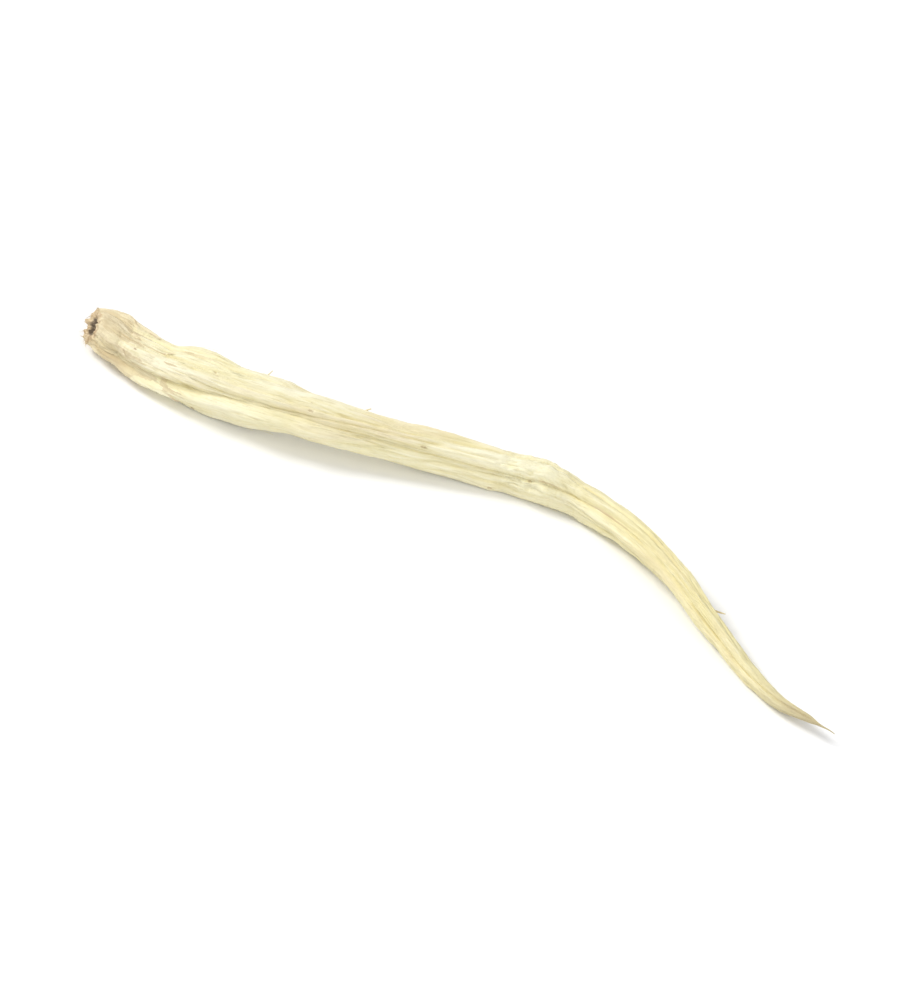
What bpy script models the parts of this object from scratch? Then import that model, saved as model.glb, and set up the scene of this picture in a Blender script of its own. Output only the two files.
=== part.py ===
"""A safed musli root, peeled and dried, as it lies on a flat surface.

It is one solid. A flat grid is wrapped round a bowed centreline: one way it runs from the pit in the
broken crown end to the tip of the tail, and the other way it runs once round the root. The furrows,
pinches and swellings of the shrunken flesh, and the slant of the crown end, are worked out from the
named values below.

Frame: metres, +Z up. The root lies on z = 0, with its tail towards +X and its bow towards +Y, and the
origin is under the middle of its box. Angles round the root start at the bow's side and go over the top.
"""

import math
from typing import NamedTuple

import bmesh
import bpy
from mathutils import Vector, noise

MM = 0.001

# Driving dimensions
CHORD = 104.0 * MM  # straight from the middle of the crown end to the tip of the tail
BOW = 11.6 * MM  # how far the bow stands off the chord
THICKEST = 3.25 * MM  # radius over the ridges, behind the crown

# The centreline: share of the chord, share of the bow, and how far the belly is off the surface. The
# belly is pressed flat at three places, where its lift is below nothing: crown, top of the bow and tail.
CENTRELINE = (
    (0.000, -0.02, 0.10 * MM),
    (0.095, -0.07, -0.26 * MM),
    (0.200, -0.02, 0.25 * MM),
    (0.300, 0.15, 0.95 * MM),
    (0.385, 0.42, 0.80 * MM),
    (0.470, 0.74, 0.20 * MM),
    (0.545, 0.95, -0.28 * MM),
    (0.610, 1.00, -0.10 * MM),
    (0.680, 0.90, 0.45 * MM),
    (0.760, 0.67, 0.75 * MM),
    (0.840, 0.37, 0.15 * MM),
    (0.900, 0.15, -0.26 * MM),
    (0.955, -0.01, 0.25 * MM),
    (1.000, -0.07, 1.25 * MM),
)

# The girth: share of the length, and share of the thickest radius
GIRTH = (
    (0.00, 0.74),
    (0.02, 0.87),
    (0.05, 0.90),
    (0.09, 0.90),
    (0.16, 1.00),
    (0.24, 0.97),
    (0.33, 0.84),
    (0.44, 0.74),
    (0.50, 0.73),
    (0.56, 0.82),
    (0.63, 0.67),
    (0.72, 0.60),
    (0.80, 0.52),
    (0.88, 0.41),
    (0.94, 0.28),
    (0.98, 0.19),
    (1.00, 0.13),
)

# The broken crown end, with a hollow round the stump of the core: share of the rim's radius, and how
# far in from the rim
CROWN_FACE = (
    (0.95, -0.14 * MM),
    (0.84, -0.24 * MM),
    (0.70, -0.12 * MM),
    (0.60, 0.30 * MM),
    (0.52, 1.10 * MM),
    (0.40, 1.70 * MM),
    (0.24, 1.75 * MM),
    (0.15, 1.20 * MM),
    (0.00, 1.00 * MM),
)
CROWN_SLANT = 3.0 * MM  # how far the break cuts back on its open side
CROWN_SIDE = math.radians(135)  # the side that the break faces
CROWN_REACH = 0.12  # share of the length over which the slant dies out
CROWN_RAGGED = 0.5 * MM  # how far its rim wavers
CROWN_WAVES = 2.2  # how often
CROWN_SEED = 4.0

# The tip of the tail, past the last ring: share of its radius, and how far on
TAIL_TIP = (
    (0.80, 0.18 * MM),
    (0.45, 0.30 * MM),
    (0.00, 0.36 * MM),
)


class Furrow(NamedTuple):
    """A valley that runs along the root. Its angles and widths are in degrees."""

    angle: float  # where it starts, at the crown
    wind: float  # how far it has wound by the tail
    sway: float  # how far it wanders to either side
    width: float  # from its bottom to its shoulder
    depth: float  # share of the radius
    start: float  # share of the length where it begins
    end: float  # and where it has run out


FURROWS = (
    Furrow(172, -52, 9, 33, 0.34, 0.00, 1.00),
    Furrow(118, -58, 8, 25, 0.24, 0.04, 0.93),
    Furrow(66, -50, 10, 28, 0.27, 0.00, 1.00),
    Furrow(18, -56, 9, 29, 0.22, 0.05, 0.96),
    Furrow(326, -42, 10, 31, 0.25, 0.00, 1.00),
    Furrow(276, -50, 8, 25, 0.15, 0.10, 0.86),
    Furrow(232, -46, 9, 30, 0.26, 0.00, 0.98),
    Furrow(145, -50, 7, 15, 0.15, 0.12, 0.58),
    Furrow(92, -40, 6, 15, 0.14, 0.30, 0.82),
    Furrow(204, -48, 7, 17, 0.16, 0.26, 0.74),
    Furrow(150, -44, 6, 15, 0.15, 0.60, 0.97),
    Furrow(355, -45, 6, 16, 0.13, 0.18, 0.62),
    Furrow(196, -40, 5, 15, 0.15, 0.00, 0.21),
)
FURROW_FADE = 0.09  # share of the length over which a furrow comes and goes
FURROW_SWAYS = 2.6  # times that it wanders over the length
FURROW_LAG = 2.4  # radians by which each wanders later than the last
FURROW_MOST = 0.46  # share of the radius that furrows may take together
FURROW_SHARPNESS = 1.5  # 1 is a plain V, and more rounds the shoulders


class Pinch(NamedTuple):
    """A ring where the root is drawn in."""

    place: float  # share of the length
    depth: float  # share of the radius
    half: float  # share of the length from its bottom to its edge
    side: float  # degrees, where it is deepest


PINCHES = (
    Pinch(0.055, 0.10, 0.022, 120),
    Pinch(0.118, 0.05, 0.020, 60),
    Pinch(0.205, 0.05, 0.022, 180),
    Pinch(0.285, 0.08, 0.024, 150),
    Pinch(0.405, 0.06, 0.020, 20),
    Pinch(0.515, 0.09, 0.022, 170),
    Pinch(0.600, 0.12, 0.020, 140),
    Pinch(0.668, 0.06, 0.018, 190),
    Pinch(0.757, 0.09, 0.020, 90),
    Pinch(0.858, 0.10, 0.018, 200),
    Pinch(0.925, 0.10, 0.016, 140),
)
PINCH_ALL_ROUND = 0.6  # share of its depth that it has on every side


class Roughness(NamedTuple):
    """Uneven flesh, raised and sunk without a pattern."""

    height: float  # share of the radius
    length: float  # how long one swelling is
    width: float  # how far it reaches round the root
    seed: Vector


SWELLINGS = Roughness(0.13, 9.0 * MM, 3.2 * MM, Vector((3.7, 11.2, 5.9)))
WRINKLES = Roughness(0.11, 6.5 * MM, 1.1 * MM, Vector((21.3, 2.8, 14.1)))
SCAB = Roughness(0.14, 1.9 * MM, 1.5 * MM, Vector((8.4, 30.6, 1.7)))
WRINKLE_WIND = math.radians(-50)  # wrinkles wind with the furrows
SCAB_PLACE = 0.545  # share of the length
SCAB_HALF = 0.055
SCAB_FULL = 0.3  # share of that over which it is at its roughest
SCAB_SIDE = math.radians(115)
SCAB_EDGES = (-0.2, 0.7)  # cosines from that side at which it begins, and is at its roughest

OVAL = 0.08  # how far the section is from round
OVAL_WIND = math.radians(150)

SIDES = 44
RINGS = 104  # steps along the length, between the crown's rim and the last ring of the tail
CROWN_CROWDING = 0.25  # how much closer the steps are at the crown than on average
MERGE = 1e-7

COURSE_STEP = 1e-3  # share of the length to each side over which the way along is read

IVORY = (0.87, 0.80, 0.56, 1.0)
DULLNESS = 0.62


def clear_scene():
    """Removes what the file starts with."""
    for item in list(bpy.data.objects):
        bpy.data.objects.remove(item)


def smooth_curve(points, place):
    """The value at place on a smooth curve through points, which are pairs of place and value."""
    last = len(points) - 1
    first = 0
    while first < last - 1 and points[first + 1][0] <= place:
        first += 1

    def slope(index):
        before = points[max(index - 1, 0)]
        after = points[min(index + 1, last)]
        return (after[1] - before[1]) / (after[0] - before[0])

    (start, low), (end, high) = points[first], points[first + 1]
    step = end - start
    t = (place - start) / step
    return (
        low * (1 + 2 * t) * (1 - t) ** 2
        + slope(first) * step * t * (1 - t) ** 2
        + high * t * t * (3 - 2 * t)
        - slope(first + 1) * step * t * t * (1 - t)
    )


def ramp(low, high, value):
    """0 below low and 1 above high, with a smooth rise between them."""
    t = min(max((value - low) / (high - low), 0.0), 1.0)
    return t * t * (3 - 2 * t)


BOW_CURVE = [(share, bow) for share, bow, _ in CENTRELINE]
LIFT_CURVE = [(share, lift) for share, _, lift in CENTRELINE]


def girth(share):
    """The radius over the ridges."""
    return THICKEST * smooth_curve(GIRTH, share)


def centre(share):
    """The middle of the root at this share of its length."""
    height = girth(share) + smooth_curve(LIFT_CURVE, share)
    return Vector((CHORD * share, BOW * smooth_curve(BOW_CURVE, share), height))


def frame_at(share):
    """The way along the root, its bow's side, and its top."""
    low, high = max(share - COURSE_STEP, 0.0), min(share + COURSE_STEP, 1.0)
    along = (centre(high) - centre(low)).normalized()
    side = Vector((0, 0, 1)).cross(along).normalized()
    return along, side, along.cross(side)


def furrow_depth(share, angle):
    """How deep the furrows are together, as a share of the radius."""
    total = 0.0
    for number, furrow in enumerate(FURROWS):
        sway = furrow.sway * math.sin(2 * math.pi * FURROW_SWAYS * share + FURROW_LAG * number)
        bottom = math.radians(furrow.angle + furrow.wind * share + sway)
        away = abs(math.remainder(angle - bottom, 2 * math.pi))
        rise = max(0.0, 1.0 - away / math.radians(furrow.width))
        come = 1.0 if furrow.start <= 0 else ramp(furrow.start, furrow.start + FURROW_FADE, share)
        go = 0.0 if furrow.end >= 1 else ramp(furrow.end - FURROW_FADE, furrow.end, share)
        total += furrow.depth * rise**FURROW_SHARPNESS * come * (1.0 - go)
    return min(total, FURROW_MOST)


def pinch_depth(share, angle):
    """How far the pinches draw the root in, as a share of the radius."""
    total = 0.0
    for pinch in PINCHES:
        near = 1.0 - ramp(0.0, pinch.half, abs(share - pinch.place))
        lean = (1.0 - PINCH_ALL_ROUND) * math.cos(angle - math.radians(pinch.side))
        total += pinch.depth * near * (PINCH_ALL_ROUND + lean)
    return total


def unevenness(kind, share, angle):
    """How far uneven flesh of this kind stands out, as a share of the radius."""
    around = girth(share) / kind.width
    place = Vector((CHORD * share / kind.length, around * math.cos(angle), around * math.sin(angle)))
    return kind.height * noise.noise(place + kind.seed)


def scab_cover(share, angle):
    """1 in the middle of the scabby patch on the bend, and 0 off it."""
    along = 1.0 - ramp(SCAB_FULL, 1.0, abs(share - SCAB_PLACE) / SCAB_HALF)
    return along * ramp(*SCAB_EDGES, math.cos(angle - SCAB_SIDE))


def radius(share, angle):
    """From the centreline to the skin."""
    oval = OVAL * math.cos(2 * (angle - OVAL_WIND * share))
    uneven = unevenness(SWELLINGS, share, angle)
    uneven += unevenness(WRINKLES, share, angle - WRINKLE_WIND * share)
    uneven += scab_cover(share, angle) * unevenness(SCAB, share, angle)
    drawn_in = (1 - furrow_depth(share, angle)) * (1 - pinch_depth(share, angle))
    return girth(share) * (1 + oval) * (1 + uneven) * drawn_in


def slant(share, angle):
    """How far the crown end's break moves the skin along the root."""
    fade = max(0.0, 1.0 - share / CROWN_REACH) ** 2
    rim = Vector((CROWN_WAVES * math.cos(angle), CROWN_WAVES * math.sin(angle), CROWN_SEED))
    return fade * (CROWN_SLANT * math.cos(angle - CROWN_SIDE) + CROWN_RAGGED * noise.noise(rim))


def skin_point(share, angle):
    """A point of the skin."""
    along, side, top = frame_at(share)
    out = side * math.cos(angle) + top * math.sin(angle)
    return centre(share) + along * slant(share, angle) + out * radius(share, angle)


def crown_point(row, angle):
    """A point of the broken crown end. Row 0 is the pit's middle."""
    part, inward = CROWN_FACE[len(CROWN_FACE) - 1 - row]
    along, _, _ = frame_at(0.0)
    return centre(0.0).lerp(skin_point(0.0, angle), part) + along * inward


def tail_point(row, angle):
    """A point past the last ring of the tail."""
    part, onward = TAIL_TIP[row]
    along, _, _ = frame_at(1.0)
    return centre(1.0).lerp(skin_point(1.0, angle), part) + along * onward


def root_point(row, angle):
    """A point of the whole root. Rows run from the pit's middle to the tip of the tail."""
    if row < len(CROWN_FACE):
        return crown_point(row, angle)
    row -= len(CROWN_FACE)
    if row > RINGS:
        return tail_point(row - RINGS - 1, angle)
    step = row / RINGS
    return skin_point(step * (1 - CROWN_CROWDING * (1 - step)), angle)


def centre_under_box(shell):
    """Moves the shape level, so that the origin is under the middle of its box."""
    xs = [vertex.co.x for vertex in shell.verts]
    ys = [vertex.co.y for vertex in shell.verts]
    middle = Vector(((min(xs) + max(xs)) / 2, (min(ys) + max(ys)) / 2, 0))
    bmesh.ops.translate(shell, verts=shell.verts, vec=-middle)


def root_mesh():
    """The root's closed skin, pressed flat where its belly meets the surface."""
    rows = len(CROWN_FACE) + RINGS + len(TAIL_TIP)
    shell = bmesh.new()
    bmesh.ops.create_grid(shell, x_segments=rows, y_segments=SIDES, size=0.5)
    for vertex in shell.verts:
        # The grid spans 1 each way about its middle, so this gives the row and the side.
        row = round((vertex.co.x + 0.5) * rows)
        side = round((vertex.co.y + 0.5) * SIDES) % SIDES
        vertex.co = root_point(row, 2 * math.pi * side / SIDES)
        vertex.co.z = max(vertex.co.z, 0.0)
    bmesh.ops.remove_doubles(shell, verts=shell.verts, dist=MERGE)
    bmesh.ops.recalc_face_normals(shell, faces=shell.faces)
    centre_under_box(shell)
    mesh = bpy.data.meshes.new("root")
    shell.to_mesh(mesh)
    shell.free()
    mesh.shade_smooth()
    return mesh


def dried_flesh():
    """The ivory of the peeled and dried root."""
    material = bpy.data.materials.new("dried_flesh")
    material.use_nodes = True
    shader = material.node_tree.nodes["Principled BSDF"]
    shader.inputs["Base Color"].default_value = IVORY
    shader.inputs["Roughness"].default_value = DULLNESS
    shader.inputs["Metallic"].default_value = 0.0
    return material


def main():
    clear_scene()
    root = bpy.data.objects.new("root", root_mesh())
    root.data.materials.append(dried_flesh())
    bpy.context.scene.collection.objects.link(root)


main()
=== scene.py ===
"""The looks of a safed musli root, peeled and dried, as it lies on a pale surface.

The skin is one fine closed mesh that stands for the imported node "root". It follows the same form, with
the same values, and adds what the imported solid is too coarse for: creases, fibres, the scabby bend, the
scars of side roots, leftovers of skin, the torn rim of the crown end and the thread that the tail dries
out in. Broken fibres, stumps of side roots, shreds of skin and loose fibres are pieces of their own on
it. Metres, +Z up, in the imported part's frame.

Angles round the root start at the bow's side and go over the top.
"""

import logging
import math
import random
from collections.abc import Callable, Sequence
from dataclasses import dataclass, field
from enum import Enum
from typing import NamedTuple

import bmesh
import bpy
from mathutils import Matrix, Vector, noise


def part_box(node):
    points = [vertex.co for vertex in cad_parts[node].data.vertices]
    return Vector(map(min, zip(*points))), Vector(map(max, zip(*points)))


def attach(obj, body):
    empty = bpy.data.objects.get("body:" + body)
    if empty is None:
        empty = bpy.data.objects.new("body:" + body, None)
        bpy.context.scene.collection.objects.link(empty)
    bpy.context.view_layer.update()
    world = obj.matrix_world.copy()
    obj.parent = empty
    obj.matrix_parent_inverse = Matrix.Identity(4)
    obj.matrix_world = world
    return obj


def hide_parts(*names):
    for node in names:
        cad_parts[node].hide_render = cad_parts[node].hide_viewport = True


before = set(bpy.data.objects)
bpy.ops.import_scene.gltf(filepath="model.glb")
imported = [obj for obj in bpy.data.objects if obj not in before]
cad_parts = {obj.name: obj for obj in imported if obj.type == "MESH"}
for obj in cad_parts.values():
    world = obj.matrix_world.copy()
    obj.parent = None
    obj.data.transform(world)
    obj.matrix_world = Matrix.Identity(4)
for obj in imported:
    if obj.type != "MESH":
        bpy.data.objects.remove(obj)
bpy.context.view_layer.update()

MM = 0.001
TAU = 2 * math.pi
GOLDEN = (math.sqrt(5) - 1) / 2
MERGE = 1e-7
COURSE_STEP = 1e-3  # share of the length to each side over which the root's way is read
BODY = "root"
NODE = "root"
STRAIGHT = "straight"  # where a point would be if the root were straight and didn't wind

log = logging.getLogger("root")

Colour = tuple[float, float, float, float]
Span = tuple[float, float]
Triple = tuple[float, float, float]
Box = tuple[Vector, Vector]  # its lowest and its highest corner
Socket = bpy.types.NodeSocket


class Mark(Enum):
    """The values that the skin carries for its finish, from 0 to 1 at each point."""

    # how far in a furrow, crease or pit a point lies; it lays painted shade on the colour and makes the skin
    # duller
    HOLLOW = "hollow"
    HUSK = "husk"
    BREAK = "break"
    # the crown's hollow, painted near-black as shade
    PIT_SHADE = "pit"
    SCAR = "scar"
    SCAB = "scab"
    TIP = "tip"


class Tone(Enum):
    """The colours of dried flesh and of what is left on it, and the painted shade of its furrows, creases
    and crown hollow.
    """

    IVORY = (0.900, 0.842, 0.552, 1.0)
    PALE = (0.945, 0.895, 0.665, 1.0)
    STRAW = (0.835, 0.752, 0.415, 1.0)
    # yellower towards the tail
    TAIL_YELLOW = (0.830, 0.740, 0.375, 1.0)
    BLUSH = (0.810, 0.665, 0.430, 1.0)
    # painted shade for furrows and creases, the second darker; the first is also the colour of darker fibre
    # lines
    FURROW_SHADE_AND_FIBRE = (0.705, 0.615, 0.325, 1.0)
    DEEP_SHADE = (0.430, 0.340, 0.138, 1.0)
    SCAB = (0.910, 0.875, 0.610, 1.0)
    HUSK = (0.610, 0.480, 0.265, 1.0)
    HUSK_PALE = (0.810, 0.700, 0.455, 1.0)
    SPECK = (0.330, 0.200, 0.090, 1.0)
    SCAR = (0.520, 0.395, 0.210, 1.0)
    BROKEN = (0.500, 0.350, 0.185, 1.0)
    BROKEN_PALE = (0.760, 0.610, 0.380, 1.0)
    # painted shade, near-black, in the crown's hollow
    PIT_SHADE = (0.078, 0.046, 0.019, 1.0)
    TIP = (0.500, 0.410, 0.240, 1.0)


class Furrow(NamedTuple):
    """A valley that runs along the root. Its angles and widths are in degrees."""

    angle: float
    wind: float
    sway: float
    width: float
    depth: float
    start: float
    end: float


class Pinch(NamedTuple):
    """A ring where the root is drawn in."""

    place: float
    depth: float
    half: float
    side: float


class Roughness(NamedTuple):
    """Uneven flesh, raised and sunk without a pattern."""

    height: float
    length: float
    width: float
    seed: Vector


class Pattern(NamedTuple):
    """Noise on the skin, stretched along the root. Its seed tells it from the others."""

    length: float
    width: float
    seed: float


class Creases(NamedTuple):
    """Narrow valleys, along the lines where a pattern changes its sign."""

    depth: float
    pattern: Pattern
    band: float  # how much of the pattern's range a valley takes


class SideRootScar(NamedTuple):
    """A small oval scar, where a side root has come off."""

    share: float
    angle: float
    size: float


class Spot(NamedTuple):
    """A place on the finished skin."""

    place: Vector
    along: Vector
    around: Vector
    out: Vector


class SkinPoint(NamedTuple):
    """A point of the skin, and what its finish reads there."""

    place: Vector
    straight: Vector
    marks: dict[Mark, float]


class Blotches(NamedTuple):
    """Noise in a finish: blotches in a metre, how much each axis is squeezed, and its finer layers."""

    scale: float
    squeeze: Triple | None = None
    detail: float = 3.0
    rough: float = 0.6


class Change(NamedTuple):
    """Turns the range from start to end into before to after, smoothly and with its ends held."""

    start: float
    end: float
    before: float = 0.0
    after: float = 1.0


Blotched = tuple[Blotches, Change]


class Layer(NamedTuple):
    """A tone that is laid over those before it, by how a pattern changes."""

    pattern: str
    change: Change
    tone: Tone


def smooth_curve(rows: Sequence[Sequence[float]], place: float, column: int = 1) -> float:
    """A smooth curve through points.

    Args:
        rows: The points, each with its place first, in rising order.
        place: Where the curve is read.
        column: Which of a row's values the curve runs through.

    Returns:
        The value there.
    """
    last = len(rows) - 1
    first = 0
    while first < last - 1 and rows[first + 1][0] <= place:
        first += 1

    def slope(index: int) -> float:
        """The slope at one of the points."""
        before, after = rows[max(index - 1, 0)], rows[min(index + 1, last)]
        return (after[column] - before[column]) / (after[0] - before[0])

    low, high = rows[first][column], rows[first + 1][column]
    step = rows[first + 1][0] - rows[first][0]
    t = (place - rows[first][0]) / step
    return (
        low * (1 + 2 * t) * (1 - t) ** 2
        + slope(first) * step * t * (1 - t) ** 2
        + high * t * t * (3 - 2 * t)
        - slope(first + 1) * step * t * t * (1 - t)
    )


def evenly(rows: Sequence[Span]) -> list[Triple]:
    """The rows of a table, with even places from 0 to 1 put before them."""
    return [(index / (len(rows) - 1), *row) for index, row in enumerate(rows)]


def ramp(low: float, high: float, value: float) -> float:
    """0 below low and 1 above high, with a smooth rise between them."""
    t = min(max((value - low) / (high - low), 0.0), 1.0)
    return t * t * (3 - 2 * t)


def around_axis(onward: float, out: float, angle: float) -> Vector:
    """A place by how far along the X axis it is, how far out from it, and at which angle round it."""
    return Vector((onward, out * math.cos(angle), out * math.sin(angle)))


def wrap_grid(
    shell: bmesh.types.BMesh,
    rows: int,
    sides: int,
    place: Callable[[bmesh.types.BMVert, int, float], Vector],
) -> None:
    """Wraps a flat grid, one wide, into a closed tube, whose first and last rows may be single points.

    Args:
        shell: The mesh that takes the tube.
        rows: Steps along the tube.
        sides: Steps round it.
        place: Gives the place of a vertex from its row and its angle.
    """
    half = 0.5
    grid = bmesh.ops.create_grid(shell, x_segments=rows, y_segments=sides, size=half)["verts"]
    for vertex in grid:
        row = round((vertex.co.x + half) * rows)
        side = round((vertex.co.y + half) * sides) % sides
        vertex.co = place(vertex, row, TAU * side / sides)
    bmesh.ops.remove_doubles(shell, verts=grid, dist=MERGE)


def finished_piece(name: str, shell: bmesh.types.BMesh, material: bpy.types.Material) -> bpy.types.Object:
    """Makes an object that rides on the root.

    Args:
        name: The piece's name.
        shell: Its mesh, in place. It is freed.
        material: Its finish.

    Returns:
        The object, at the origin.
    """
    bmesh.ops.recalc_face_normals(shell, faces=shell.faces)
    mesh = bpy.data.meshes.new(name)
    shell.to_mesh(mesh)
    shell.free()
    mesh.shade_smooth()
    mesh.materials.append(material)
    piece = bpy.data.objects.new(name, mesh)
    bpy.context.scene.collection.objects.link(piece)
    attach(piece, BODY)
    return piece


class NodeSheet:
    """A node tree that is being laid out."""

    def __init__(self, tree: bpy.types.NodeTree) -> None:
        """Takes the tree to fill."""
        self.tree = tree

    def add(
        self, kind: str, values: dict[str | int, object] | None = None, **settings: object
    ) -> bpy.types.Node:
        """Adds a node.

        Args:
            kind: Its type, without the word ShaderNode.
            values: What its inputs are set to or linked from, by name or number.
            **settings: Its own settings.

        Returns:
            The node.
        """
        node = self.tree.nodes.new(kind if kind.startswith("NodeGroup") else "ShaderNode" + kind)
        for name, value in settings.items():
            setattr(node, name, value)
        for name, value in (values or {}).items():
            self.feed(node.inputs[name], value)
        return node

    def feed(self, socket: Socket, value: object) -> None:
        """Fills an input.

        Args:
            socket: The input.
            value: An output that is linked to it, or the value or tone that it is set to.
        """
        if isinstance(value, Socket):
            self.tree.links.new(value, socket)
        else:
            socket.default_value = value.value if isinstance(value, Tone) else value

    def squeezed(self, place: Socket, squeeze: Triple) -> Socket:
        """A place, scaled on each axis."""
        return self.add("Mapping", {"Vector": place, "Scale": squeeze}).outputs["Vector"]

    def noise(self, place: Socket, kind: Blotches) -> Socket:
        """Noise that is read at a place.

        Args:
            place: The place.
            kind: What the noise is like.

        Returns:
            Its value, from 0 to 1.
        """
        if kind.squeeze:
            place = self.squeezed(place, kind.squeeze)
        values = {"Vector": place, "Scale": kind.scale, "Detail": kind.detail, "Roughness": kind.rough}
        return self.add("TexNoise", values).outputs["Fac"]

    def remap(self, value: Socket, change: Change) -> Socket:
        """Changes a value's range.

        Args:
            value: What is changed.
            change: How.

        Returns:
            The result.
        """
        inputs = ("From Min", "From Max", "To Min", "To Max")
        values = {"Value": value} | dict(zip(inputs, change))
        return self.add("MapRange", values, interpolation_type="SMOOTHSTEP").outputs["Result"]

    def math(self, operation: str, first: object, second: object) -> Socket:
        """A sum, product or the like of two values."""
        return self.add("Math", {0: first, 1: second}, operation=operation).outputs[0]

    def vector(self, operation: str, values: dict[int, object]) -> Socket:
        """A sum, product or the like of places."""
        return self.add("VectorMath", values, operation=operation).outputs[0]

    def blend(self, share: object, under: object, over: object) -> Socket:
        """One colour laid over another.

        Args:
            share: How much of the second shows.
            under: The first.
            over: The second.

        Returns:
            The colour.
        """
        node = self.add("Mix", {"Factor": share}, data_type="RGBA", clamp_factor=True)
        lower, upper = [socket for socket in node.inputs if socket.type == "RGBA"]
        self.feed(lower, under)
        self.feed(upper, over)
        return next(socket for socket in node.outputs if socket.type == "RGBA")

    def carried(self, name: str, output: str = "Fac") -> Socket:
        """A value that the mesh carries."""
        return self.add("Attribute", attribute_name=name).outputs[output]

    def mottled(self, mark: Mark, pattern: Socket, change: Change) -> Socket:
        """A mark of the skin, made uneven by a pattern."""
        return self.math("MULTIPLY", self.carried(mark.value), self.remap(pattern, change))


@dataclass(frozen=True)
class DryGrain:
    """The fibres, streaks and grain of dried flesh, shared by every finish of the root."""

    name: str = "dry_grain"
    patterns: tuple[tuple[str, Blotches], ...] = (
        ("Fibres", Blotches(1.0, (260.0, 5200.0, 5200.0), 2.0)),
        ("Hairs", Blotches(1.0, (420.0, 13000.0, 13000.0), 1.0, 0.5)),
        ("Streaks", Blotches(1.0, (120.0, 1500.0, 1500.0))),
        ("Crinkles", Blotches(1.0, (3000.0, 900.0, 900.0), 2.0, 0.55)),
        ("Grain", Blotches(4200.0, rough=0.65)),
    )

    def group(self) -> bpy.types.NodeTree:
        """The node group, which is made once.

        Returns:
            The group, with a place for input and a value for each pattern.
        """
        if self.name in bpy.data.node_groups:
            return bpy.data.node_groups[self.name]
        tree = bpy.data.node_groups.new(self.name, "ShaderNodeTree")
        tree.interface.new_socket("Place", in_out="INPUT", socket_type="NodeSocketVector")
        for name, _ in self.patterns:
            tree.interface.new_socket(name, in_out="OUTPUT", socket_type="NodeSocketFloat")
        sheet = NodeSheet(tree)
        place = sheet.add("NodeGroupInput").outputs["Place"]
        sheet.add("NodeGroupOutput", {name: sheet.noise(place, kind) for name, kind in self.patterns})
        return tree


class Finish(NodeSheet):
    """The nodes of a new material."""

    def __init__(self, name: str) -> None:
        """Starts the material.

        Args:
            name: Its name.
        """
        self.material = bpy.data.materials.new(name)
        self.material.use_nodes = True
        super().__init__(self.material.node_tree)
        self.shader = self.tree.nodes["Principled BSDF"]

    def shade(self, **inputs: object) -> None:
        """Fills the shader's inputs, named with a low line for each space."""
        for name, value in inputs.items():
            self.feed(self.shader.inputs[name.replace("_", " ")], value)

    def bump(self, height: Socket, distance: float) -> Socket:
        """A surface that is raised by a height, up to a distance."""
        return self.add("Bump", {"Height": height, "Distance": distance}).outputs["Normal"]


class GrainyFinish(Finish):
    """The nodes of a material of the root, with the place where all its patterns are read, and the grain."""

    def __init__(self, name: str, place: str = "") -> None:
        """Starts the material.

        Args:
            name: Its name.
            place: What the mesh carries for that place. It is the point's own place if this is left out.
        """
        super().__init__(name)
        self.place = self.carried(place, "Vector") if place else self.add("TexCoord").outputs["Object"]
        self.grain = self.add("Group", {"Place": self.place}, node_tree=DryGrain().group()).outputs

    def blotched(self, kind: Blotches, change: Change) -> Socket:
        """Noise at the material's place, with its range changed."""
        return self.remap(self.noise(self.place, kind), change)


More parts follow.
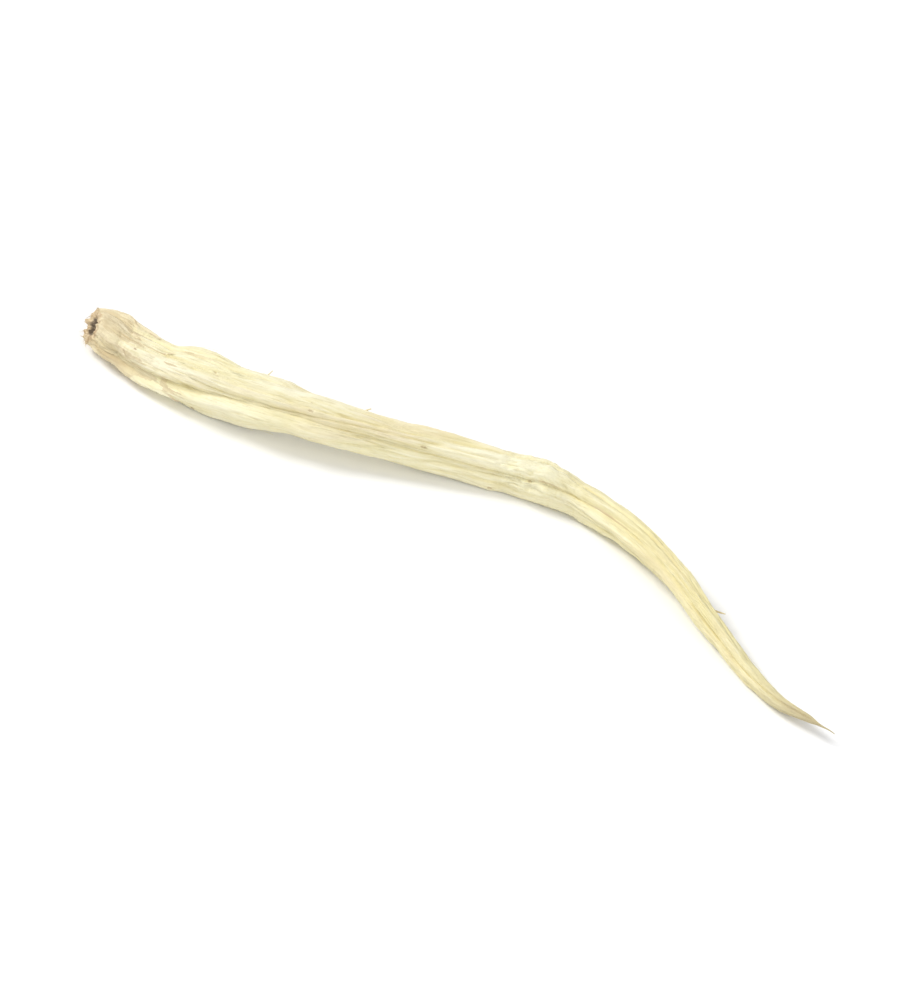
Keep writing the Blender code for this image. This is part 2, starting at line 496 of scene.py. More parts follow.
@dataclass(frozen=True)
class DriedFlesh:
    """Ivory flesh, with straw streaks and painted shade in its furrows and creases, a near-black painted
    shade in the crown's hollow, tan leftovers of skin and a brown broken end.
    """

    name: str = "dried_flesh"
    patches: Blotches = Blotches(120.0, (0.5, 1.7, 1.7))
    blushes: Blotches = Blotches(55.0, (0.7, 3.0, 3.0))
    tan_waver: Change = Change(0.3, 0.7, -3.5 * MM, 3.5 * MM)
    hollow_uneven: Change = Change(0.3, 0.7, 1.15, 0.8)
    layers: tuple[Layer, ...] = (
        Layer("patches", Change(0.36, 0.64), Tone.PALE),
        Layer("streaks", Change(0.46, 0.74, 0.0, 0.75), Tone.STRAW),
        Layer("onward", Change(58.0 * MM, 74.0 * MM, 0.0, 0.65), Tone.TAIL_YELLOW),
        Layer("from crown", Change(2.5 * MM, 12.0 * MM, 0.62, 0.0), Tone.BLUSH),
        Layer("blushes", Change(0.54, 0.74, 0.0, 0.55), Tone.BLUSH),
        # painted shade: three steps of darkening in the furrows, creases and the scab's pits
        Layer("hollow", Change(0.06, 0.50, 0.0, 0.62), Tone.STRAW),
        Layer("hollow", Change(0.34, 0.85, 0.0, 0.66), Tone.FURROW_SHADE_AND_FIBRE),
        Layer("hollow", Change(0.66, 1.05, 0.0, 0.55), Tone.DEEP_SHADE),
        Layer("fibres", Change(0.54, 0.70, 0.0, 0.50), Tone.PALE),
        Layer("fibres", Change(0.45, 0.28, 0.0, 0.50), Tone.FURROW_SHADE_AND_FIBRE),
        Layer("hairs", Change(0.43, 0.26, 0.0, 0.40), Tone.FURROW_SHADE_AND_FIBRE),
    )
    scab_chalk: Change = Change(0.42, 0.60, 0.10, 0.75)
    husk_tones: Change = Change(0.36, 0.66)
    husk_specks: Change = Change(0.60, 0.74, 0.0, 0.6)
    husk_ragged: Blotched = (Blotches(1900.0, (0.4, 1.0, 1.0)), Change(0.2, 0.8, -0.3, 0.3))
    husk_worn: Blotched = (Blotches(480.0, (0.4, 1.0, 1.0)), Change(0.3, 0.7, 0.95, 0.40))
    husk_edge: Change = Change(0.42, 0.58)
    scar_frayed: Change = Change(0.3, 0.7, 0.5, 1.4)
    scar_edge: Change = Change(0.2, 0.9, 0.0, 0.75)
    tip_uneven: Change = Change(0.3, 0.7, 1.0, 0.55)
    ray_noise: Blotches = Blotches(9.0, rough=0.65)
    ray_grain: Blotches = Blotches(2600.0, detail=2.0)
    ray_tones: Change = Change(0.80, 1.20)
    pit_streaked: Change = Change(0.3, 0.7, 0.70, 1.45)
    pit_grained: Change = Change(0.3, 0.7, 0.75, 1.30)
    pit_edge: Change = Change(0.04, 0.90, 0.0, 0.94)
    speck_wobble: Triple = (0.3 * MM, 0.3 * MM, 0.3 * MM)
    speck_wobbles: float = 2500.0
    speck_cells: float = 760.0
    speck_squeeze: Triple = (0.45, 1.0, 1.0)
    speck_few: Change = Change(0.72, 0.76)
    speck_sizes: Change = Change(0.0, 1.0, 0.03, 0.12)
    speck_edge: Change = Change(-0.02, 0.06, 0.0, 0.70)
    dullness: Change = Change(0.3, 1.2, 0.48, 0.74)
    bump_shares: tuple[tuple[str, float], ...] = (("Hairs", 0.45), ("Grain", 0.45))
    crinkly: Blotched = (Blotches(230.0, (0.5, 1.7, 1.7), 2.0, 0.5), Change(0.42, 0.66, 0.10, 0.75))
    bump_height: float = 0.125 * MM

    def flesh_colour(self, sheet: GrainyFinish) -> Socket:
        """The colour of the peeled flesh.

        Args:
            sheet: The material's nodes.

        Returns:
            The colour.
        """
        streaks = sheet.grain["Streaks"]
        onward = sheet.add("SeparateXYZ", {0: sheet.place}).outputs[0]
        patterns = {
            "patches": sheet.noise(sheet.place, self.patches),
            "streaks": streaks,
            "onward": onward,
            "from crown": sheet.math("ADD", onward, sheet.remap(streaks, self.tan_waver)),
            "blushes": sheet.noise(sheet.place, self.blushes),
            "hollow": sheet.mottled(Mark.HOLLOW, streaks, self.hollow_uneven),
            "fibres": sheet.grain["Fibres"],
            "hairs": sheet.grain["Hairs"],
        }
        colour = Tone.IVORY
        for layer in self.layers:
            colour = sheet.blend(sheet.remap(patterns[layer.pattern], layer.change), colour, layer.tone)
        return colour

    def base_colour(self, sheet: GrainyFinish) -> Socket:
        """The colour of the flesh, with what is left on it, and of its broken end.

        Args:
            sheet: The material's nodes.

        Returns:
            The colour.
        """
        streaks, fine = sheet.grain["Streaks"], sheet.grain["Grain"]
        husk = sheet.blend(sheet.remap(streaks, self.husk_tones), Tone.HUSK, Tone.HUSK_PALE)
        # painted shade in the crown's hollow, mottled by the streaks and grain
        deep = sheet.mottled(Mark.PIT_SHADE, streaks, self.pit_streaked)
        deep = sheet.math("MULTIPLY", deep, sheet.remap(fine, self.pit_grained))
        covers = (
            (sheet.mottled(Mark.SCAB, fine, self.scab_chalk), Tone.SCAB),
            (self.specks(sheet), Tone.SPECK),
            (self.husk_cover(sheet), sheet.blend(sheet.remap(fine, self.husk_specks), husk, Tone.SPECK)),
            (sheet.remap(sheet.mottled(Mark.SCAR, fine, self.scar_frayed), self.scar_edge), Tone.SCAR),
            (sheet.mottled(Mark.TIP, streaks, self.tip_uneven), Tone.TIP),
            (sheet.carried(Mark.BREAK.value), sheet.blend(self.rays(sheet), Tone.BROKEN, Tone.BROKEN_PALE)),
            (sheet.remap(deep, self.pit_edge), Tone.PIT_SHADE),
        )
        colour = self.flesh_colour(sheet)
        for share, over in covers:
            colour = sheet.blend(share, colour, over)
        return colour

    def husk_cover(self, sheet: GrainyFinish) -> Socket:
        """0 where the root is peeled, and up to 1 where brown skin is left, with finely ragged edges."""
        ragged = sheet.math("ADD", sheet.carried(Mark.HUSK.value), sheet.blotched(*self.husk_ragged))
        return sheet.math("MULTIPLY", sheet.remap(ragged, self.husk_edge), sheet.blotched(*self.husk_worn))

    def rays(self, sheet: GrainyFinish) -> Socket:
        """Streaks that run out from the core over the broken end.

        Args:
            sheet: The material's nodes.

        Returns:
            A value from 0 to 1.
        """
        flat = sheet.vector("MULTIPLY", {0: sheet.place, 1: (0.0, 1.0, 1.0)})
        rays = sheet.noise(sheet.vector("NORMALIZE", {0: flat}), self.ray_noise)
        return sheet.remap(sheet.math("ADD", rays, sheet.noise(sheet.place, self.ray_grain)), self.ray_tones)

    def specks(self, sheet: GrainyFinish) -> Socket:
        """Small brown specks, in some cells of a cell pattern.

        Args:
            sheet: The material's nodes.

        Returns:
            Up to 1 in a speck, and 0 elsewhere.
        """
        values = {"Vector": sheet.place, "Scale": self.speck_wobbles, "Detail": 1.0}
        wobble = sheet.add("TexNoise", values).outputs["Color"]
        shift = sheet.vector("MULTIPLY", {0: wobble, 1: self.speck_wobble})
        where = sheet.squeezed(sheet.vector("ADD", {0: sheet.place, 1: shift}), self.speck_squeeze)
        cells = sheet.add("TexVoronoi", {"Vector": where, "Scale": self.speck_cells}).outputs
        chosen = sheet.add("SeparateColor", {"Color": cells["Color"]}).outputs
        size = sheet.remap(chosen[1], self.speck_sizes)
        inside = sheet.remap(sheet.math("SUBTRACT", size, cells["Distance"]), self.speck_edge)
        return sheet.math("MULTIPLY", sheet.remap(chosen[0], self.speck_few), inside)

    def build(self) -> bpy.types.Material:
        """Makes the finish.

        Returns:
            The material.
        """
        sheet = GrainyFinish(self.name, STRAIGHT)
        polish = sheet.math("ADD", sheet.grain["Grain"], sheet.carried(Mark.HOLLOW.value))
        height = sheet.grain["Fibres"]
        for name, share in (*self.bump_shares, ("Crinkles", sheet.blotched(*self.crinkly))):
            height = sheet.math("ADD", height, sheet.math("MULTIPLY", sheet.grain[name], share))
        sheet.shade(
            Base_Color=self.base_colour(sheet),
            Roughness=sheet.remap(polish, self.dullness),
            Normal=sheet.bump(height, self.bump_height),
        )
        return sheet.material


@dataclass(frozen=True)
class DryFibre:
    """Dry, brittle fibre or papery skin, mottled between two tones."""

    name: str
    dark: Colour
    pale: Colour
    mottle_scale: float = 900.0
    mottling: Change = Change(0.35, 0.65)
    dullness: Change = Change(0.3, 0.7, 0.55, 0.80)
    bump_height: float = 0.02 * MM

    def build(self) -> bpy.types.Material:
        """Makes the finish.

        Returns:
            The material.
        """
        sheet = GrainyFinish(self.name)
        mottle = sheet.blotched(Blotches(self.mottle_scale), self.mottling)
        sheet.shade(
            Base_Color=sheet.blend(mottle, self.dark, self.pale),
            Roughness=sheet.remap(sheet.grain["Grain"], self.dullness),
            Normal=sheet.bump(sheet.grain["Grain"], self.bump_height),
        )
        return sheet.material


@dataclass(frozen=True)
class Ring:
    """What the points of one ring of the skin have in common."""

    share: float
    girth: float
    centre: Vector
    along: Vector
    side: Vector
    top: Vector
    valleys: tuple[Triple, ...]  # bottom, width and depth of each furrow here
    pinches: tuple[Span, ...]  # depth and side of each pinch here

    def outward(self, angle: float) -> Vector:
        """The way from the middle to the skin."""
        return self.side * math.cos(angle) + self.top * math.sin(angle)


@dataclass(frozen=True)
class RootForm:
    """The form of the root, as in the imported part: shares are of its length or of its thickest radius."""

    chord: float = 104.0 * MM
    bow: float = 11.6 * MM
    thickest: float = 3.25 * MM
    # share of the chord, share of the bow, and how far the belly is off the surface
    centreline: tuple[Triple, ...] = (
        (0.000, -0.02, 0.10 * MM),
        (0.095, -0.07, -0.26 * MM),
        (0.200, -0.02, 0.25 * MM),
        (0.300, 0.15, 0.95 * MM),
        (0.385, 0.42, 0.80 * MM),
        (0.470, 0.74, 0.20 * MM),
        (0.545, 0.95, -0.28 * MM),
        (0.610, 1.00, -0.10 * MM),
        (0.680, 0.90, 0.45 * MM),
        (0.760, 0.67, 0.75 * MM),
        (0.840, 0.37, 0.15 * MM),
        (0.900, 0.15, -0.26 * MM),
        (0.955, -0.01, 0.25 * MM),
        (1.000, -0.07, 1.25 * MM),
    )
    girths: tuple[Span, ...] = (
        (0.00, 0.74),
        (0.02, 0.87),
        (0.05, 0.90),
        (0.09, 0.90),
        (0.16, 1.00),
        (0.24, 0.97),
        (0.33, 0.84),
        (0.44, 0.74),
        (0.50, 0.73),
        (0.56, 0.82),
        (0.63, 0.67),
        (0.72, 0.60),
        (0.80, 0.52),
        (0.88, 0.41),
        (0.94, 0.28),
        (0.98, 0.19),
        (1.00, 0.13),
    )
    furrows: tuple[Furrow, ...] = (
        Furrow(172, -52, 9, 33, 0.34, 0.00, 1.00),
        Furrow(118, -58, 8, 25, 0.24, 0.04, 0.93),
        Furrow(66, -50, 10, 28, 0.27, 0.00, 1.00),
        Furrow(18, -56, 9, 29, 0.22, 0.05, 0.96),
        Furrow(326, -42, 10, 31, 0.25, 0.00, 1.00),
        Furrow(276, -50, 8, 25, 0.15, 0.10, 0.86),
        Furrow(232, -46, 9, 30, 0.26, 0.00, 0.98),
        Furrow(145, -50, 7, 15, 0.15, 0.12, 0.58),
        Furrow(92, -40, 6, 15, 0.14, 0.30, 0.82),
        Furrow(204, -48, 7, 17, 0.16, 0.26, 0.74),
        Furrow(150, -44, 6, 15, 0.15, 0.60, 0.97),
        Furrow(355, -45, 6, 16, 0.13, 0.18, 0.62),
        Furrow(196, -40, 5, 15, 0.15, 0.00, 0.21),
    )
    furrow_fade: float = 0.09
    furrow_sways: float = 2.6
    furrow_lag: float = 2.4
    furrow_most: float = 0.46
    furrow_sharpness: float = 1.5
    pinches: tuple[Pinch, ...] = (
        Pinch(0.055, 0.10, 0.022, 120),
        Pinch(0.118, 0.05, 0.020, 60),
        Pinch(0.205, 0.05, 0.022, 180),
        Pinch(0.285, 0.08, 0.024, 150),
        Pinch(0.405, 0.06, 0.020, 20),
        Pinch(0.515, 0.09, 0.022, 170),
        Pinch(0.600, 0.12, 0.020, 140),
        Pinch(0.668, 0.06, 0.018, 190),
        Pinch(0.757, 0.09, 0.020, 90),
        Pinch(0.858, 0.10, 0.018, 200),
        Pinch(0.925, 0.10, 0.016, 140),
    )
    pinch_all_round: float = 0.6
    swellings: Roughness = Roughness(0.13, 9.0 * MM, 3.2 * MM, Vector((3.7, 11.2, 5.9)))
    wrinkles: Roughness = Roughness(0.11, 6.5 * MM, 1.1 * MM, Vector((21.3, 2.8, 14.1)))
    scab: Roughness = Roughness(0.14, 1.9 * MM, 1.5 * MM, Vector((8.4, 30.6, 1.7)))
    wrinkle_wind: float = math.radians(-50)
    scab_place: float = 0.545
    scab_half: float = 0.055
    scab_full: float = 0.3
    scab_side: float = math.radians(115)
    scab_edges: Span = (-0.2, 0.7)
    oval: float = 0.08
    oval_wind: float = math.radians(150)
    crown_slant: float = 3.0 * MM
    crown_side: float = math.radians(135)
    crown_reach: float = 0.12
    crown_ragged: float = 0.5 * MM
    crown_waves: float = 2.2
    crown_seed: float = 4.0
    # share of the rim's radius, and how far in from the rim
    crown_face: tuple[Span, ...] = (
        (1.00, 0.00 * MM),
        (0.95, -0.14 * MM),
        (0.84, -0.24 * MM),
        (0.70, -0.12 * MM),
        (0.60, 0.30 * MM),
        (0.52, 1.10 * MM),
        (0.40, 1.70 * MM),
        (0.24, 1.75 * MM),
        (0.15, 1.20 * MM),
        (0.00, 1.00 * MM),
    )

    def girth(self, share: float) -> float:
        """The radius over the ridges."""
        return self.thickest * smooth_curve(self.girths, share)

    def centre(self, share: float) -> Vector:
        """The middle of the root at this share of its length."""
        bow, lift = (smooth_curve(self.centreline, share, column) for column in (1, 2))
        return Vector((self.chord * share, self.bow * bow, self.girth(share) + lift))

    def ring(self, share: float) -> Ring:
        """Works out what the points of one ring have in common.

        Args:
            share: The ring's place, as a share of the length.

        Returns:
            The ring.
        """
        low, high = max(share - COURSE_STEP, 0.0), min(share + COURSE_STEP, 1.0)
        along = (self.centre(high) - self.centre(low)).normalized()
        side = Vector((0, 0, 1)).cross(along).normalized()
        valleys, fade = [], self.furrow_fade
        for number, furrow in enumerate(self.furrows):
            sway = furrow.sway * math.sin(TAU * self.furrow_sways * share + self.furrow_lag * number)
            bottom = math.radians(furrow.angle + furrow.wind * share + sway)
            come = 1.0 if furrow.start <= 0 else ramp(furrow.start, furrow.start + fade, share)
            go = 0.0 if furrow.end >= 1 else ramp(furrow.end - fade, furrow.end, share)
            depth = furrow.depth * come * (1.0 - go)
            if depth > 0:
                valleys.append((bottom, math.radians(furrow.width), depth))
        pinches = []
        for pinch in self.pinches:
            near = 1.0 - ramp(0.0, pinch.half, abs(share - pinch.place))
            if near > 0:
                pinches.append((pinch.depth * near, math.radians(pinch.side)))
        centre, top = self.centre(share), along.cross(side)
        return Ring(share, self.girth(share), centre, along, side, top, tuple(valleys), tuple(pinches))

    def furrow_depth(self, ring: Ring, angle: float) -> float:
        """How deep the furrows are together.

        Args:
            ring: The point's ring.
            angle: Its angle.

        Returns:
            Their depth, as a share of the radius.
        """
        total = 0.0
        for bottom, width, depth in ring.valleys:
            away = abs(math.remainder(angle - bottom, TAU))
            if away < width:
                total += depth * (1.0 - away / width) ** self.furrow_sharpness
        return min(total, self.furrow_most)

    def unevenness(self, kind: Roughness, ring: Ring, angle: float) -> float:
        """How far uneven flesh of this kind stands out, as a share of the radius."""
        place = around_axis(self.chord * ring.share / kind.length, ring.girth / kind.width, angle)
        return kind.height * noise.noise(place + kind.seed)

    def scab_cover(self, share: float, angle: float) -> float:
        """1 in the middle of the scabby patch on the bend, and 0 off it."""
        along = 1.0 - ramp(self.scab_full, 1.0, abs(share - self.scab_place) / self.scab_half)
        return along * ramp(*self.scab_edges, math.cos(angle - self.scab_side))

    def radius(self, ring: Ring, angle: float) -> float:
        """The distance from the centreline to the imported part's skin.

        Args:
            ring: The point's ring.
            angle: Its angle.

        Returns:
            The distance.
        """
        oval = self.oval * math.cos(2 * (angle - self.oval_wind * ring.share))
        uneven = self.unevenness(self.swellings, ring, angle)
        uneven += self.unevenness(self.wrinkles, ring, angle - self.wrinkle_wind * ring.share)
        scab = self.scab_cover(ring.share, angle)
        if scab > 0:
            uneven += scab * self.unevenness(self.scab, ring, angle)
        drawn_in = 1 - self.furrow_depth(ring, angle)
        whole, lean = self.pinch_all_round, 1 - self.pinch_all_round
        pinched = sum(depth * (whole + lean * math.cos(angle - side)) for depth, side in ring.pinches)
        return ring.girth * (1 + oval) * (1 + uneven) * drawn_in * (1 - pinched)

    def slant(self, share: float, angle: float) -> float:
        """How far the crown end's break moves the skin along the root.

        Args:
            share: The point's place, as a share of the length.
            angle: Its angle.

        Returns:
            The move.
        """
        fade = max(0.0, 1.0 - share / self.crown_reach) ** 2
        waves = self.crown_waves
        rim = Vector((waves * math.cos(angle), waves * math.sin(angle), self.crown_seed))
        lean = self.crown_slant * math.cos(angle - self.crown_side)
        return fade * (lean + self.crown_ragged * noise.noise(rim))

    def straight_place(self, ring: Ring, angle: float, part: float = 1.0, onward: float = 0.0) -> Vector:
        """Where a point would be if the root were straight and its furrows didn't wind."""
        turned = angle - self.wrinkle_wind * ring.share
        return around_axis(self.chord * ring.share + onward, part * ring.girth, turned)


@dataclass(frozen=True)
class SkinRelief:
    """The fine relief of the dried skin. Heights are in metres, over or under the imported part's skin."""

    form: RootForm = RootForm()
    crowding: float = 2.1 * MM  # a thinner root has as many creases round it as one of this radius
    rough_layers: tuple[Span, ...] = ((0.5, 3.1), (0.25, 7.7))  # size and strength, and seed, of finer noise
    creases: tuple[Creases, ...] = (
        Creases(0.160 * MM, Pattern(9.0 * MM, 0.85 * MM, 31.7), 0.19),
        Creases(0.100 * MM, Pattern(6.0 * MM, 0.50 * MM, 53.1), 0.24),
        Creases(0.055 * MM, Pattern(4.5 * MM, 0.32 * MM, 71.3), 0.30),
    )
    crease_sharpness: float = 1.3
    crease_patches: Pattern = Pattern(9.0 * MM, 2.5 * MM, 77.1)
    crease_patch_edges: Span = (-0.35, 0.35)
    crease_least: float = 0.35  # how much of the creases there is between the patches
    folds: Creases = Creases(0.110 * MM, Pattern(0.85 * MM, 1.9 * MM, 12.9), 0.26)
    fold_patches: Pattern = Pattern(3.2 * MM, 1.5 * MM, 23.5)
    fold_patch_edges: Span = (-0.30, 0.25)
    fold_tint: float = 0.7  # how much of a crease's bottom a fold's bottom counts as
    # where the root is folded across: share of the length, how far to each side, and how deep
    fold_places: tuple[Triple, ...] = (
        (0.055, 0.055, 1.00),
        (0.205, 0.045, 0.45),
        (0.300, 0.050, 0.50),
        (0.405, 0.045, 0.35),
        (0.590, 0.065, 1.00),
        (0.668, 0.040, 0.40),
        (0.757, 0.040, 0.60),
        (0.860, 0.040, 0.65),
        (0.925, 0.030, 0.60),
    )
    # the height and the pattern of the fibres, and of the grain
    ripples: tuple[tuple[float, Pattern], ...] = (
        (0.028 * MM, Pattern(5.0 * MM, 0.26 * MM, 5.5)),
        (0.026 * MM, Pattern(0.45 * MM, 0.45 * MM, 18.2)),
    )
    scab_height: float = 0.24 * MM
    scab_pattern: Pattern = Pattern(1.00 * MM, 0.80 * MM, 44.4)
    husk_height: float = 0.055 * MM
    husk_edges: Span = (0.42, 0.58)
    husk_middle: float = 0.5
    husk_steepness: float = 0.8
    husk_end: float = 0.058  # share of the length to which the crown keeps its skin
    husk_lean: float = 0.034  # how much farther on the side where most is left
    husk_side: float = math.radians(200)
    husk_fade: float = 0.055
    husk_pattern: Pattern = Pattern(3.6 * MM, 0.9 * MM, 55.3)
    husk_mix: Span = (1.1, 0.9)  # how much the pattern and the furrows count
    streak_pattern: Pattern = Pattern(8.0 * MM, 0.6 * MM, 91.7)
    streak_mix: Span = (1.9, 1.3)
    streak_rarity: float = 1.25
    streak_thinning: float = 2.6  # how much rarer they get along the root
    streak_thinned: float = 0.35  # share of the length up to which they do
    scar_count: int = 12
    scar_shares: Span = (0.10, 0.92)
    scar_sizes: Span = (0.20 * MM, 0.38 * MM)
    scar_shrink: float = 0.35
    # step and start of the scars' walk along, round and through the sizes, in rounds
    scar_walk: tuple[Span, ...] = ((GOLDEN, 0.31), (1.7 * GOLDEN**2, 0.13), (0.37, 0.0))
    scar_stretch: float = 1.9
    scar_rim: float = 0.060 * MM
    scar_rim_place: float = 1.05  # in sizes
    scar_rim_half: float = 0.4
    scar_pit: float = 0.10 * MM
    scar_pit_edges: Span = (0.2, 0.95)
    scar_reach: float = 2.2  # in sizes

    def read(self, kind: Pattern, ring: Ring, angle: float) -> float:
        """Reads a pattern.

        Args:
            kind: The pattern.
            ring: Where it is read along the root.
            angle: And round it.

        Returns:
            A value from about -1 to 1.
        """
        turned = angle - self.form.wrinkle_wind * ring.share
        around = max(ring.girth, self.crowding) / kind.width
        onward = self.form.chord * ring.share / kind.length
        where = (onward + kind.seed, around * math.cos(turned), around * math.sin(turned) - kind.seed)
        return noise.noise(Vector(where))

    def read_ragged(self, kind: Pattern, ring: Ring, angle: float) -> float:
        """Reads a pattern with finer layers on it, for ragged edges.

        Args:
            kind: The pattern.
            ring: Where it is read along the root.
            angle: And round it.

        Returns:
            A value from about -1.5 to 1.5.
        """
        total = self.read(kind, ring, angle)
        for part, shift in self.rough_layers:
            finer = Pattern(kind.length * part, kind.width * part, kind.seed + shift)
            total += part * self.read(finer, ring, angle)
        return total

    def crease(self, kind: Creases, ring: Ring, angle: float) -> float:
        """How deep a point is in creases of this kind, from 0 to 1."""
        value = self.read(kind.pattern, ring, angle)
        return max(0.0, 1.0 - abs(value) / kind.band) ** self.crease_sharpness

    def creased(self, ring: Ring, angle: float) -> Span:
        """The creases and folds of a point.

        Args:
            ring: The point's ring.
            angle: Its angle.

        Returns:
            Their depth in metres, and how much of the bottom of one it is in, from 0 to 1.
        """
        patchy = ramp(*self.crease_patch_edges, self.read(self.crease_patches, ring, angle))
        patchy = self.crease_least + (1.0 - self.crease_least) * patchy
        depth, inside = 0.0, 0.0
        for kind in self.creases:
            share = patchy * self.crease(kind, ring, angle)
            depth += kind.depth * share
            inside = max(inside, share * kind.depth / self.creases[0].depth)
        near = max(
            deep * (1.0 - ramp(0.0, 1.0, abs(ring.share - place) / half))
            for place, half, deep in self.fold_places
        )
        if near > 0:
            broken_up = ramp(*self.fold_patch_edges, self.read(self.fold_patches, ring, angle))
            share = near * broken_up * self.crease(self.folds, ring, angle)
            depth += self.folds.depth * share
            inside = max(inside, self.fold_tint * share)
        return depth, inside

    def husk_field(self, ring: Ring, angle: float) -> float:
        """How surely a film of skin is left at a point.

        Args:
            ring: The point's ring.
            angle: Its angle.

        Returns:
            Over 0.5 where it is left, and under that where it is peeled off.
        """
        valley = self.form.furrow_depth(ring, angle) / self.form.furrow_most
        ragged = self.read_ragged(self.husk_pattern, ring, angle)
        end = self.husk_end + self.husk_lean * math.cos(angle - self.husk_side)
        collar = (end - ring.share) / self.husk_fade + self.husk_mix[0] * ragged + self.husk_mix[1] * valley
        streak = self.streak_mix[0] * self.read_ragged(self.streak_pattern, ring, angle)
        streak += self.streak_mix[1] * valley - self.streak_rarity
        streak -= self.streak_thinning * min(ring.share, self.streak_thinned)
        return self.husk_middle + self.husk_steepness * max(collar, streak)

    def scars(self) -> list[SideRootScar]:
        """Spreads the scars of side roots over the root.

        Returns:
            The scars.
        """
        found = []
        for number in range(self.scar_count):
            along, around, large = ((number * step + start) % 1.0 for step, start in self.scar_walk)
            share = self.scar_shares[0] + (self.scar_shares[1] - self.scar_shares[0]) * along
            size = self.scar_sizes[0] + (self.scar_sizes[1] - self.scar_sizes[0]) * large
            found.append(SideRootScar(share, TAU * around, size * (1.0 - self.scar_shrink * share)))
        return found

    def near_scars(self, scars: list[SideRootScar], share: float) -> list[SideRootScar]:
        """The scars that a ring may touch."""
        reach = self.scar_reach * self.scar_stretch / self.form.chord
        return [scar for scar in scars if abs(scar.share - share) < reach * scar.size]

    def scar_marks(self, near: list[SideRootScar], ring: Ring, angle: float) -> Span:
        """The relief of the scars near a point.

        Args:
            near: The scars whose ring is close.
            ring: The point's ring.
            angle: The point's angle.

        Returns:
            The height in metres, and how much of a scar the point is in, from 0 to 1.
        """
        height, inside = 0.0, 0.0
        for scar in near:
            along = self.form.chord * (ring.share - scar.share) / self.scar_stretch
            across = ring.girth * math.remainder(angle - scar.angle, TAU)
            away = math.hypot(along, across) / scar.size
            if away < self.scar_reach:
                deep = 1.0 - ramp(*self.scar_pit_edges, away)
                rim = math.exp(-(((away - self.scar_rim_place) / self.scar_rim_half) ** 2))
                height += self.scar_rim * rim - self.scar_pit * deep
                inside = max(inside, deep)
        return height, inside


